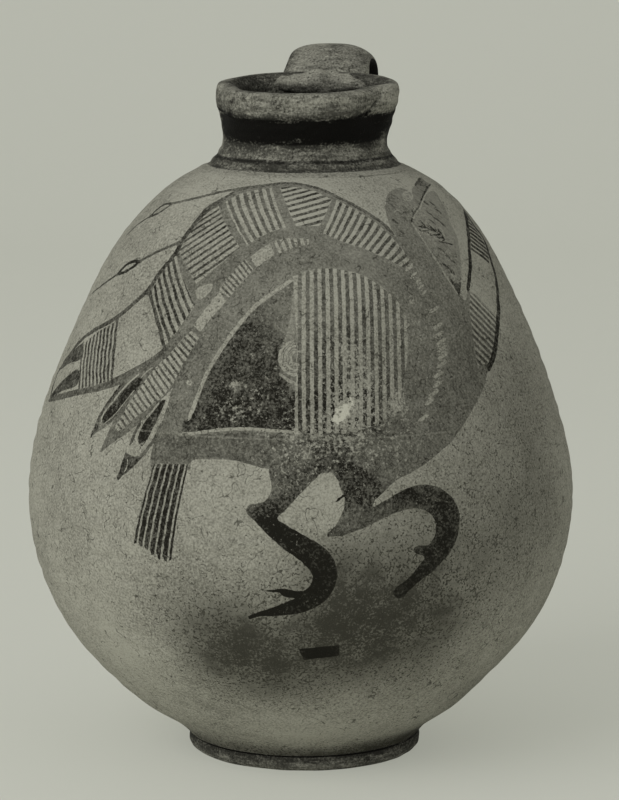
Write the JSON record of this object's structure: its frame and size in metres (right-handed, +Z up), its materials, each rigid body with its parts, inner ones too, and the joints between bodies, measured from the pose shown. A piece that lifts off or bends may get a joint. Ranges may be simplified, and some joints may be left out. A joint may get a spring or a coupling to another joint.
{
  "type": "painted ceramic jug",
  "caption": "Hand-thrown pear-shaped ceramic jug on a ring foot, with a short waisted neck, a thick pinched rim and a broad strap handle from rim to shoulder.",
  "frame": {"origin": "centre of the foot's resting plane, on the jug's axis", "axes": "+Z up along the jug's axis; the rim's front and the painted bird look along -Y; the handle stands at +Y"},
  "size_m": [0.24, 0.24, 0.3097],
  "materials": {
    "fired_clay": "matt slip over fired earthenware",
    "joint_slip": "matt",
    "painted_clay": "matt dark slip paint, worn"
  },
  "bodies": {
    "root": {"foot_ring": "fired_clay", "foot_slip": "joint_slip", "lower_body": "fired_clay", "girth_slip": "joint_slip", "upper_body": "fired_clay", "neck_slip": "joint_slip", "neck": "painted_clay", "rim": "painted_clay", "handle": "painted_clay", "handle_fold": "painted_clay", "handle_collar": "fired_clay"}
  },
  "joints": []
}
